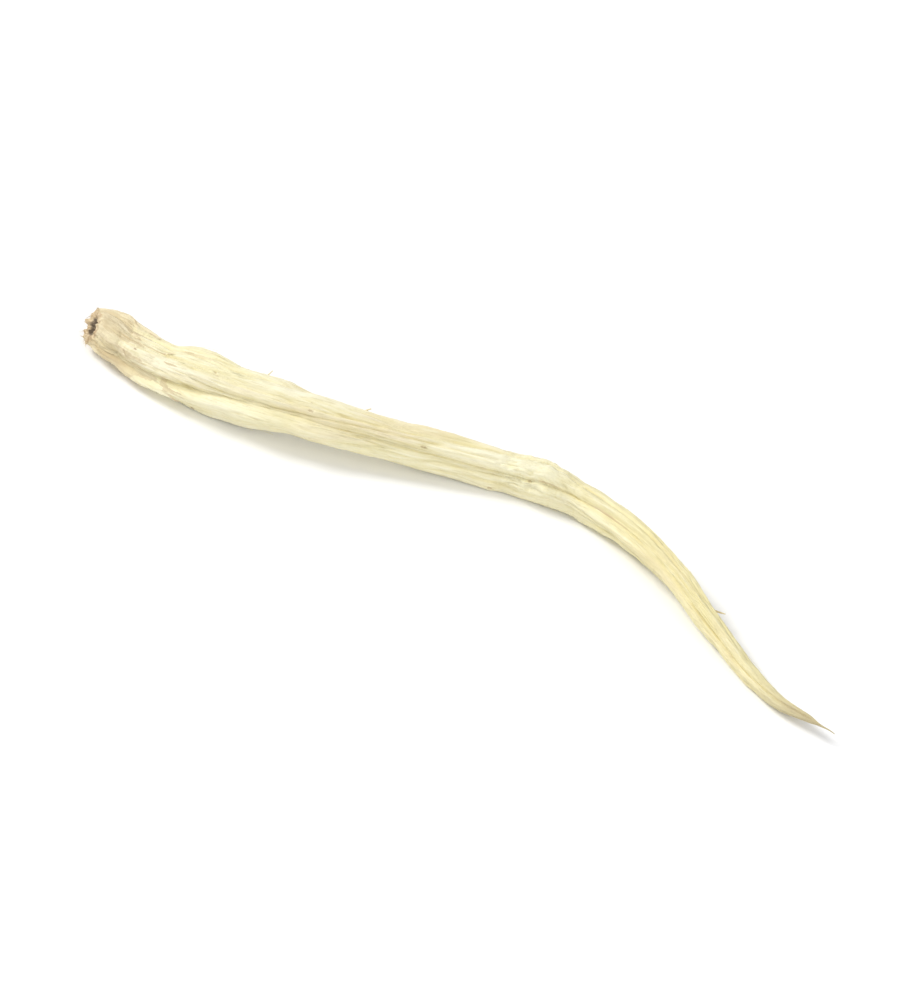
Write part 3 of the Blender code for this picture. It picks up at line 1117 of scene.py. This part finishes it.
@dataclass
class RootSkin:
    """The whole skin of the root, from the hollow of its crown end to the tip of its tail."""

    relief: SkinRelief = SkinRelief()
    finish: DriedFlesh = DriedFlesh()
    sides: int = 180
    rings: int = 484
    crown_rows: int = 30
    tail_rows: int = 34
    crown_crowding: float = 0.25
    thin: float = 1.6 * MM  # radius under which the relief gets shallower
    hollow_mix: Triple = (0.50, 0.46, 0.50)  # how much furrows, creases and the scab's pits are hollows, which get painted shade
    tip_from: float = 0.90
    rim_tear: float = 0.27 * MM
    rim_tear_reach: float = 0.016  # share of the length over which the tears fade out
    rim_tears: float = 7.5
    # the finer tears: their strength and number as shares of the others', and their seed
    fine_tears: tuple[float, float, Triple] = (0.5, 2.3, (6.0, 2.0, 8.0))
    face_roughness: float = 0.11 * MM
    face_grain: float = 0.42 * MM
    face_grain_seed: Triple = (4.0, 9.0, 2.0)
    # the finer grain: its size as a share of the other's, its strength and its seed
    face_fine_grain: tuple[float, float, Triple] = (0.4, 0.5, (14.0, 3.0, 7.0))
    face_ridges: float = 0.16 * MM
    face_ridge_count: float = 4.5
    face_ridge_turn: float = 1.5
    face_fades: tuple[Span, Span] = ((0.0, 0.12), (0.93, 1.0))  # depths at which its relief comes and goes
    face_break: Span = (0.0, 0.10)  # depths over which the skin ends
    # painted shade on the crown's face, in the low spots of its grain
    face_hollow: float = 0.4
    face_clear: float = 0.07 * MM  # how far the crown's face stays above the skin that is pressed flat
    face_clear_by: float = 0.15
    face_dark: Span = (-0.16 * MM, 0.70 * MM)  # how far in the hollow's painted shade begins, and is darkest
    # the tip and the dried thread that it runs out in: share of the last ring's radius, and how far on
    thread: tuple[Span, ...] = (
        (1.00, 0.00 * MM),
        (0.87, 0.25 * MM),
        (0.66, 0.60 * MM),
        (0.46, 1.00 * MM),
        (0.31, 1.50 * MM),
        (0.22, 2.00 * MM),
        (0.16, 2.50 * MM),
        (0.12, 2.85 * MM),
        (0.00, 3.00 * MM),
    )
    thread_bend: Span = (0.70 * MM, -0.75 * MM)  # to the side and up, at its end
    thread_sway: float = 0.07 * MM
    thread_sways: float = 12.0
    # painted shade over the whole thread
    thread_hollow: float = 0.3
    spot_steps: Span = (0.004, 0.12)  # share of the length and angle over which a spot's ways are read
    move: Vector = field(default_factory=Vector, init=False)

    @property
    def form(self) -> RootForm:
        """The form that the skin follows."""
        return self.relief.form

    def skin_point(self, ring: Ring, near: list[SideRootScar], angle: float) -> SkinPoint:
        """A point of the skin between the crown's rim and the tail.

        Args:
            ring: The point's ring.
            near: The scars close to that ring.
            angle: The point's angle.

        Returns:
            The point.
        """
        form, relief = self.form, self.relief
        shallow = min(1.0, ring.girth / self.thin)
        crease_depth, creased = relief.creased(ring, angle)
        husk = relief.husk_field(ring, angle)
        height, scar = relief.scar_marks(near, ring, angle)
        height -= crease_depth * shallow
        height += relief.husk_height * ramp(*relief.husk_edges, husk) * shallow
        for ripple, pattern in relief.ripples:
            height += ripple * relief.read(pattern, ring, angle)
        scab, rough = form.scab_cover(ring.share, angle), 0.0
        if scab > 0:
            rough = scab * relief.read_ragged(relief.scab_pattern, ring, angle)
            height += relief.scab_height * rough
        # the hollow mark gives painted shade in furrows, creases and the scab's pits
        hollows = (form.furrow_depth(ring, angle) / form.furrow_most, creased, max(-rough, 0.0))
        marks = {
            Mark.HOLLOW: sum(part * hollow for part, hollow in zip(self.hollow_mix, hollows)),
            Mark.HUSK: husk,
            Mark.SCAR: scar,
            Mark.SCAB: scab,
            Mark.TIP: ramp(self.tip_from, 1.0, ring.share),
        }
        middle = ring.centre + ring.along * (form.slant(ring.share, angle) + self.torn(ring.share, angle))
        place = middle + ring.outward(angle) * (form.radius(ring, angle) + height)
        return SkinPoint(place, form.straight_place(ring, angle), marks)

    def torn(self, share: float, angle: float) -> float:
        """How far the fine tears in the crown's rim move the skin along the root.

        Args:
            share: The point's place, as a share of the length.
            angle: Its angle.

        Returns:
            The move.
        """
        fade = max(0.0, 1.0 - share / self.rim_tear_reach)
        if fade <= 0:
            return 0.0
        way = Vector((math.cos(angle), math.sin(angle), 0.0)) * self.rim_tears
        strength, number, seed = self.fine_tears
        tears = noise.noise(way) + strength * noise.noise(way * number + Vector(seed))
        return self.rim_tear * fade * tears

    def face_point(self, depth: float, rim: Vector, ring: Ring, angle: float) -> SkinPoint:
        """A point of the broken crown end.

        Args:
            depth: 0 at the rim, and 1 in the middle of the hollow.
            rim: The rim's place at this angle.
            ring: The rim's ring.
            angle: The point's angle.

        Returns:
            The point.
        """
        rows = evenly(self.form.crown_face)
        part, inward = max(smooth_curve(rows, depth), 0.0), smooth_curve(rows, depth, 2)
        way = Vector((math.cos(angle), math.sin(angle), 0.0))
        where = way * part * ring.girth
        part_size, strength, seed = self.face_fine_grain
        coarse = noise.noise(where / self.face_grain + Vector(self.face_grain_seed))
        fine = noise.noise(where / (part_size * self.face_grain) + Vector(seed))
        turn = Vector((0.0, 0.0, self.face_ridge_turn * depth))
        relief = self.face_roughness * (coarse + strength * fine)
        relief += self.face_ridges * noise.noise(way * self.face_ridge_count + turn)
        come, go = (ramp(*span, depth) for span in self.face_fades)
        inward += come * (1.0 - go) * relief
        broken = ramp(*self.face_break, depth)
        marks = {
            Mark.BREAK: broken,
            Mark.PIT_SHADE: ramp(*self.face_dark, inward),
            Mark.HOLLOW: self.face_hollow - coarse,
            Mark.HUSK: 1.0 - broken,
        }
        place = ring.centre.lerp(rim, part) + ring.along * inward
        return SkinPoint(place, self.form.straight_place(ring, angle, part, inward), marks)

    def tail_point(self, depth: float, end: Vector, ring: Ring, angle: float) -> SkinPoint:
        """A point past the last ring of the tail.

        Args:
            depth: 0 at the last ring, and 1 at the very tip.
            end: The last ring's place at this angle.
            ring: The last ring.
            angle: The point's angle.

        Returns:
            The point.
        """
        rows = evenly(self.thread)
        part, onward = max(smooth_curve(rows, depth), 0.0), smooth_curve(rows, depth, 2)
        bend = (onward / self.thread[-1][1]) ** 2
        sway = self.thread_sway * math.sin(self.thread_sways * depth) * bend
        place = ring.centre.lerp(end, part) + ring.along * onward
        place += ring.side * (self.thread_bend[0] * bend + sway) + ring.top * self.thread_bend[1] * bend
        marks = {Mark.TIP: 1.0, Mark.HOLLOW: self.thread_hollow}
        return SkinPoint(place, self.form.straight_place(ring, angle, part, onward), marks)

    def build(self) -> bpy.types.Object:
        """Makes the skin.

        Returns:
            The object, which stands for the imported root.
        """
        shell = bmesh.new()
        straight_layer = shell.verts.layers.float_vector.new(STRAIGHT)
        mark_layers = {kind: shell.verts.layers.float.new(kind.value) for kind in Mark}
        steps = [number / self.rings for number in range(self.rings + 1)]
        rings = [self.form.ring(step * (1 - self.crown_crowding * (1 - step))) for step in steps]
        scars = self.relief.scars()
        near = [self.relief.near_scars(scars, ring.share) for ring in rings]

        def place(vertex: bmesh.types.BMVert, row: int, angle: float) -> Vector:
            """Marks a vertex and places it.

            Args:
                vertex: The vertex.
                row: Its row, from the middle of the hollow on.
                angle: Its angle.

            Returns:
                Its place.
            """
            number = row - self.crown_rows
            here = min(max(number, 0), self.rings)
            point, lowest = self.skin_point(rings[here], near[here], angle), 0.0
            if number < 0:
                depth = -number / self.crown_rows
                point = self.face_point(depth, point.place, rings[here], angle)
                lowest = self.face_clear * ramp(0.0, self.face_clear_by, depth)
            elif number > self.rings:
                depth = (number - self.rings) / self.tail_rows
                point = self.tail_point(depth, point.place, rings[here], angle)
            vertex[straight_layer] = point.straight
            for kind, layer in mark_layers.items():
                vertex[layer] = min(max(point.marks.get(kind, 0.0), 0.0), 1.0)
            return Vector((point.place.x, point.place.y, max(point.place.z, lowest)))

        wrap_grid(shell, self.crown_rows + self.rings + self.tail_rows, self.sides, place)
        self.move = self.level_move(shell)
        bmesh.ops.translate(shell, verts=shell.verts, vec=self.move)
        skin = finished_piece("root_skin", shell, self.finish.build())
        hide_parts(NODE)
        return skin

    def level_move(self, shell: bmesh.types.BMesh) -> Vector:
        """How far the skin moves level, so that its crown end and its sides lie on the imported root's.

        Args:
            shell: The skin's mesh.

        Returns:
            The move.
        """
        low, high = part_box(NODE)
        first = min(vertex.co.x for vertex in shell.verts)
        ys = [vertex.co.y for vertex in shell.verts]
        return Vector((low[0] - first, (low[1] + high[1] - min(ys) - max(ys)) / 2, 0.0))

    def place_on(self, share: float, angle: float) -> Vector:
        """The place of a point of the finished skin."""
        near = self.relief.near_scars(self.relief.scars(), share)
        return self.skin_point(self.form.ring(share), near, angle).place + self.move

    def spot(self, share: float, angle: float) -> Spot:
        """A place on the finished skin, with the ways along, round and out of it.

        Args:
            share: The place along the root.
            angle: The place round it.

        Returns:
            The spot.
        """
        here = self.place_on(share, angle)
        along = (self.place_on(share + self.spot_steps[0], angle) - here).normalized()
        around = (self.place_on(share, angle + self.spot_steps[1]) - here).normalized()
        return Spot(here, along, around, around.cross(along).normalized())

    def face_place(self, depth: float, angle: float) -> Vector:
        """The place of a point of the finished crown end.

        Args:
            depth: 0 at the rim, and 1 in the middle of the hollow.
            angle: The place round it.

        Returns:
            The place.
        """
        ring = self.form.ring(0.0)
        rim = self.skin_point(ring, [], angle).place
        return self.face_point(depth, rim, ring, angle).place + self.move


class Waver(NamedTuple):
    """Noise over two values, which makes a strand uneven, and each strand in its own way."""

    strength: float
    first: float  # how fast it changes with the first value
    second: float  # and with the second
    seed: float

    def at(self, first: float, second: float) -> float:
        """The noise at these two values."""
        return self.strength * noise.noise(Vector((self.first * first, self.second * second, self.seed)))


@dataclass(frozen=True)
class Strand:
    """A thin closed strand of dry fibre, or a shred of skin where it is wide and flat."""

    course: list[Vector]
    widths: list[float]  # from its middle to its side at each point of the course
    facing: Vector  # the way that its flat side faces
    flatness: float = 1.0  # its thickness as a share of its width
    curl: float = 0.0  # how far its edges turn up, as a share of its width

    def add_to(self, shell: bmesh.types.BMesh, sides: int) -> None:
        """Adds the strand to a mesh.

        Args:
            shell: The mesh.
            sides: Steps round the strand.
        """
        last = len(self.course) - 1
        frames = []
        for row, middle in enumerate(self.course):
            ahead = (self.course[min(row + 1, last)] - self.course[max(row - 1, 0)]).normalized()
            facing = (self.facing - ahead * self.facing.dot(ahead)).normalized()
            frames.append((middle, ahead.cross(facing), facing, self.widths[row]))

        def place(_: bmesh.types.BMVert, row: int, angle: float) -> Vector:
            """Places a vertex of the strand.

            Args:
                row: Its row.
                angle: Its angle.

            Returns:
                Its place.
            """
            middle, side, facing, width = frames[row]
            up = math.sin(angle) * self.flatness + math.cos(angle) ** 2 * self.curl
            point = middle + side * (math.cos(angle) * width) + facing * (up * width)
            return Vector((point.x, point.y, max(point.z, 0.0)))

        wrap_grid(shell, last, sides, place)


def even_parts(steps: int) -> list[float]:
    """The ends of so many equal steps from 0 to 1, with both 0 and 1."""
    return [step / steps for step in range(steps + 1)]


def random_way(draws: random.Random) -> Vector:
    """A random way, of up to 1 along each axis."""
    return Vector((draws.uniform(-1, 1), draws.uniform(-1, 1), draws.uniform(-1, 1)))


def bent_course(base: Vector, way: Vector, bend: Vector, length: float, parts: list[float]) -> list[Vector]:
    """The points at these parts of a strand that leaves its base one way and bends on."""
    return [base + (way * part + bend * part**2) * length for part in parts]


@dataclass(frozen=True)
class BrokenFibres:
    """Tufts of torn fibre that stick out of the broken crown end, round its rim and in its core."""

    skin: RootSkin
    finish: DryFibre = DryFibre("tan_fibre", (0.50, 0.36, 0.20, 1.0), (0.82, 0.70, 0.47, 1.0))
    rim_tufts: int = 40
    core_tufts: int = 4
    in_tuft: tuple[int, int] = (3, 6)
    rim_depths: Span = (0.02, 0.28)
    core_depths: Span = (0.90, 0.98)
    lengths: Span = (0.16 * MM, 0.58 * MM)
    length_parts: Span = (0.5, 1.15)
    widths: Span = (0.010 * MM, 0.028 * MM)
    taper: float = 0.35
    flatness: Span = (0.35, 0.80)
    rooted: float = 0.10 * MM
    outward: Span = (0.1, 1.0)
    astray: float = 0.5
    lean: float = 0.75
    spread: float = 0.30
    bend: float = 0.65
    foot_spread: Span = (0.03, 0.08)  # in depth and in angle
    steps: int = 7
    sides: int = 5
    seed: int = 11

    def build(self) -> bpy.types.Object:
        """Makes the tufts.

        Returns:
            The piece.
        """
        draws = random.Random(self.seed)
        shell = bmesh.new()
        ring = self.skin.form.ring(0.0)
        parts = even_parts(self.steps)
        tapering = [0.0, *(1.0 - self.taper * part for part in parts[1:-1]), 0.0]
        deep, round_it = self.foot_spread
        for number in range(self.rim_tufts + self.core_tufts):
            depth = draws.uniform(*(self.rim_depths if number < self.rim_tufts else self.core_depths))
            angle = TAU * draws.random()
            lean = ring.outward(angle) * draws.uniform(*self.outward) + random_way(draws) * self.astray
            way = (lean * self.lean - ring.along).normalized()
            bend = random_way(draws) * self.bend
            length = draws.uniform(*self.lengths)
            for _ in range(draws.randint(*self.in_tuft)):
                foot_depth = min(max(depth + draws.uniform(-deep, deep), 0.0), 1.0)
                foot = self.skin.face_place(foot_depth, angle + draws.uniform(-round_it, round_it))
                own = (way + random_way(draws) * self.spread).normalized()
                whole = length * draws.uniform(*self.length_parts) + self.rooted
                course = bent_course(foot - own * self.rooted, own, bend, whole, parts)
                width = draws.uniform(*self.widths)
                widths = [width * part for part in tapering]
                strand = Strand(course, widths, random_way(draws), draws.uniform(*self.flatness))
                strand.add_to(shell, self.sides)
        return finished_piece("broken_fibres", shell, self.finish.build())


@dataclass(frozen=True)
class SideRootStumps:
    """Short, thin stumps of side roots, standing in some of the scars."""

    skin: RootSkin
    finish: DryFibre = DryFibre("stump_fibre", (0.62, 0.50, 0.27, 1.0), (0.84, 0.75, 0.48, 1.0))
    every: int = 3  # one stump to so many scars
    lengths: Span = (0.4 * MM, 1.2 * MM)
    widths: Span = (0.08 * MM, 0.13 * MM)
    foot: float = 1.35  # in widths
    taper: float = 0.75
    knots: Waver = Waver(0.22, 90.0, 5.0, 1.0)
    flatness: float = 0.85
    outward: float = 0.55
    onward: Span = (0.3, 0.9)
    astray: float = 0.2
    bend_onward: Span = (0.1, 0.5)
    bend_down: float = 0.25
    bend_astray: float = 0.15
    rooted: float = 0.25 * MM
    headroom: float = 0.15 * MM
    steps: int = 12
    sides: int = 10
    seed: int = 5

    def build(self) -> bpy.types.Object:
        """Makes the stumps, apart from any that would stand well out of the root's box or end in the floor.

        Returns:
            The piece.
        """
        draws = random.Random(self.seed)
        low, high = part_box(NODE)
        shell = bmesh.new()
        parts = even_parts(self.steps)
        for scar in self.skin.relief.scars()[:: self.every]:
            spot = self.skin.spot(scar.share, scar.angle)
            length, width = draws.uniform(*self.lengths), draws.uniform(*self.widths)
            lean = spot.along * draws.uniform(*self.onward) + random_way(draws) * self.astray
            way = (spot.out * self.outward + lean).normalized()
            bend = spot.along * draws.uniform(*self.bend_onward) - spot.out * self.bend_down
            bend += random_way(draws) * self.bend_astray
            base = spot.place - spot.out * self.rooted
            course = bent_course(base, way, bend, length + self.rooted, parts)
            under = max(point.z for point in course) < high[2] + self.headroom
            beside = all(low[1] - self.headroom < point.y < high[1] + self.headroom for point in course)
            if not (under and beside and course[-1].z > width):
                continue
            knotty = [width * (1.0 + self.knots.at(scar.share, part)) for part in parts]
            widths = [wide * (self.foot - self.taper * part) for wide, part in zip(knotty, parts)]
            course = [course[0].copy(), *course, course[-1].copy()]
            strand = Strand(course, [0.0, *widths, 0.0], spot.around, self.flatness)
            strand.add_to(shell, self.sides)
        return finished_piece("side_root_stumps", shell, self.finish.build())


@dataclass(frozen=True)
class LiftedStrands:
    """Strands that lie along the skin, rooted at one end and lifted at the other."""

    skin: RootSkin
    name: str
    finish: DryFibre
    count: int
    shares: Span
    lengths: Span
    widths: Span
    lifts: Span
    lift_power: float
    turns: Span
    steps: int
    sides: int
    seed: int
    sway: Waver = Waver(0.0, 0.0, 0.0, 0.0)
    tries: int = 900
    sunk: float = 0.02 * MM

    def fits(self, share: float, angle: float) -> bool:
        """Whether a strand may begin at this place."""
        raise NotImplementedError

    def inside(self, course: list[Vector], box: Box) -> bool:
        """Whether a strand stays where strands may be, by the root's box."""
        raise NotImplementedError

    def width_share(self, share: float, part: float) -> float:
        """How wide a strand is at this part of its length."""
        raise NotImplementedError

    def section(self, width: float, draws: random.Random) -> Span:
        """How thick a strand of this width is and how far it curls, both as shares of its width."""
        raise NotImplementedError

    def build(self) -> bpy.types.Object:
        """Makes the strands.

        Returns:
            The piece.
        """
        draws = random.Random(self.seed)
        shell = bmesh.new()
        parts = even_parts(self.steps)
        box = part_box(NODE)
        made = 0
        for _ in range(self.tries):
            share, angle = draws.uniform(*self.shares), TAU * draws.random()
            if not self.fits(share, angle):
                continue
            length, width = draws.uniform(*self.lengths), draws.uniform(*self.widths)
            lift, turn = draws.uniform(*self.lifts), draws.uniform(*self.turns)
            course = []
            for part in parts:
                onward = length * part / self.skin.form.chord
                spot = self.skin.spot(share + onward, angle + turn * part)
                up = spot.out * (lift * part**self.lift_power - self.sunk)
                course.append(spot.place + up + spot.around * self.sway.at(part, share))
            if not self.inside(course, box):
                continue
            widths = [width * self.width_share(share, part) for part in parts]
            widths[0] = widths[-1] = 0.0
            facing = self.skin.spot(share, angle).out
            Strand(course, widths, facing, *self.section(width, draws)).add_to(shell, self.sides)
            made += 1
            if made == self.count:
                break
        return finished_piece(self.name, shell, self.finish.build())


@dataclass(frozen=True)
class SkinShreds(LiftedStrands):
    """Thin curled shreds of skin, which the peeling left hanging at the crown, along the skin's edge."""

    name: str = "skin_shreds"
    finish: DryFibre = DryFibre("papery_skin", (0.62, 0.48, 0.29, 1.0), (0.84, 0.73, 0.50, 1.0), 500.0)
    count: int = 16
    shares: Span = (0.012, 0.14)
    edge: Span = (0.42, 0.72)
    lengths: Span = (0.9 * MM, 3.0 * MM)
    widths: Span = (0.05 * MM, 0.17 * MM)
    torn: Waver = Waver(0.35, 9.0, 40.0, 3.0)
    ends: Span = (0.035, 0.965)  # the stretch of a half wave that a shred's width follows
    bluntness: float = 0.6
    thickness: float = 0.016 * MM
    curls: Span = (0.1, 0.45)
    lifts: Span = (0.05 * MM, 0.26 * MM)
    lift_power: float = 1.6
    turns: Span = (-0.25, 0.25)
    steps: int = 14
    sides: int = 10
    seed: int = 23

    def fits(self, share: float, angle: float) -> bool:
        """Whether a place is at the ragged edge of the skin that is left."""
        return self.edge[0] < self.skin.relief.husk_field(self.skin.form.ring(share), angle) < self.edge[1]

    def inside(self, course: list[Vector], box: Box) -> bool:
        """Whether a shred stays under the root's top."""
        return max(point.z for point in course) <= box[1].z

    def width_share(self, share: float, part: float) -> float:
        """How wide a shred is, which is wider in its middle and unevenly torn."""
        along = min(part * (self.ends[1] - self.ends[0]) + self.ends[0], 1.0)
        return (1.0 + self.torn.at(part, share)) * math.sin(math.pi * along) ** self.bluntness

    def section(self, width: float, draws: random.Random) -> Span:
        """The thickness and the curl of a shred."""
        return self.thickness / width, draws.uniform(*self.curls)


@dataclass(frozen=True)
class LooseFibres(LiftedStrands):
    """Fine fibres that have come loose along the ridges."""

    name: str = "loose_fibres"
    finish: DryFibre = DryFibre("pale_fibre", (0.76, 0.66, 0.38, 1.0), (0.90, 0.84, 0.60, 1.0))
    count: int = 34
    shares: Span = (0.03, 0.90)
    ridge: float = 0.05  # furrow depth up to which a place is a ridge
    lengths: Span = (2.0 * MM, 7.0 * MM)
    widths: Span = (0.022 * MM, 0.045 * MM)
    taper: float = 0.5
    flatness: float = 0.8
    lifts: Span = (0.04 * MM, 0.42 * MM)
    lift_power: float = 2.0
    turns: Span = (-0.22, 0.12)
    sway: Waver = Waver(0.10 * MM, 4.0, 50.0, 9.0)
    clear: float = 0.2 * MM  # how far the fibres stay above the floor
    steps: int = 16
    sides: int = 5
    seed: int = 42

    def fits(self, share: float, angle: float) -> bool:
        """Whether a place is on a ridge."""
        return self.skin.form.furrow_depth(self.skin.form.ring(share), angle) <= self.ridge

    def inside(self, course: list[Vector], box: Box) -> bool:
        """Whether a fibre stays in the root's box and off the floor."""
        low, high = box
        return all(low[1] < point.y < high[1] and self.clear <= point.z < high[2] for point in course)

    def width_share(self, share: float, part: float) -> float:
        """How wide a fibre is, which tapers."""
        return 1.0 - self.taper * part

    def section(self, width: float, draws: random.Random) -> Span:
        """The thickness of a fibre, which doesn't curl."""
        return self.flatness, 0.0


class Softbox(NamedTuple):
    """A square soft light. Its place is to the camera's right, away from the camera, and up."""

    name: str
    place: Triple
    size: float
    power: float


@dataclass(frozen=True)
class Studio:
    """A pale floor, soft light, most of it from the back left, and the camera at the photograph's angle."""

    azimuth: float = math.radians(39.6)
    elevation: float = math.radians(40.0)
    lens: float = 180.0
    distance: float = 0.56
    aim: Triple = (0.0, -0.001, 0.0005)
    floor_half: float = 3.0
    floor_squares: int = 2  # in a row
    floor_tone: Colour = (0.97, 0.97, 0.97, 1.0)
    floor_roughness: float = 0.9
    floor_gloss: float = 0.1
    sky_tone: Colour = (1.0, 1.0, 1.0, 1.0)
    sky_strength: float = 0.54
    softboxes: tuple[Softbox, ...] = (
        Softbox("key", (-0.75, 0.50, 0.80), 0.45, 10.1),
        Softbox("fill", (0.5, -0.9, 0.6), 0.9, 5.7),
    )

    def floor(self) -> None:
        shell = bmesh.new()
        squares = self.floor_squares
        bmesh.ops.create_grid(shell, x_segments=squares, y_segments=squares, size=self.floor_half)
        mesh = bpy.data.meshes.new("floor")
        shell.to_mesh(mesh)
        shell.free()
        sheet = Finish("pale_floor")
        rough, gloss = self.floor_roughness, self.floor_gloss
        sheet.shade(Base_Color=self.floor_tone, Roughness=rough, Specular_IOR_Level=gloss)
        mesh.materials.append(sheet.material)
        floor = bpy.data.objects.new("floor", mesh)
        bpy.context.scene.collection.objects.link(floor)

    def light(self, softbox: Softbox) -> None:
        """Adds a light that faces the root.

        Args:
            softbox: The light.
        """
        light = bpy.data.lights.new(softbox.name, "AREA")
        light.size = softbox.size
        light.energy = softbox.power
        lamp = bpy.data.objects.new(softbox.name, light)
        lamp.location = Matrix.Rotation(self.azimuth, 3, "Z") @ Vector(softbox.place)
        lamp.rotation_euler = (Vector(self.aim) - lamp.location).to_track_quat("-Z", "Y").to_euler()
        bpy.context.scene.collection.objects.link(lamp)

    def camera(self) -> None:
        """Makes the camera that the scene looks through."""
        flat = math.cos(self.elevation)
        way = (math.sin(self.azimuth) * flat, -math.cos(self.azimuth) * flat, math.sin(self.elevation))
        data = bpy.data.cameras.new("camera")
        data.lens = self.lens
        camera = bpy.data.objects.new("camera", data)
        camera.location = Vector(self.aim) + Vector(way) * self.distance
        camera.rotation_euler = (-Vector(way)).to_track_quat("-Z", "Y").to_euler()
        bpy.context.scene.collection.objects.link(camera)
        bpy.context.scene.camera = camera

    def build(self) -> None:
        """Sets the floor, the camera, the lights and the sky."""
        self.floor()
        self.camera()
        for softbox in self.softboxes:
            self.light(softbox)
        world = bpy.data.worlds.new("studio")
        world.use_nodes = True
        sky = world.node_tree.nodes["Background"]
        sky.inputs["Color"].default_value = self.sky_tone
        sky.inputs["Strength"].default_value = self.sky_strength
        bpy.context.scene.world = world
        bpy.context.scene.view_settings.view_transform = "Standard"


def main() -> None:
    """Builds the root and its studio."""
    logging.basicConfig(level=logging.INFO, format="%(message)s")
    skin = RootSkin()
    pieces = [skin.build()]
    pieces += [kind(skin).build() for kind in (BrokenFibres, SideRootStumps, SkinShreds, LooseFibres)]
    for piece in pieces:
        log.info("%s: %d faces", piece.name, len(piece.data.polygons))
    Studio().build()


if __name__ == "__main__":
    main()
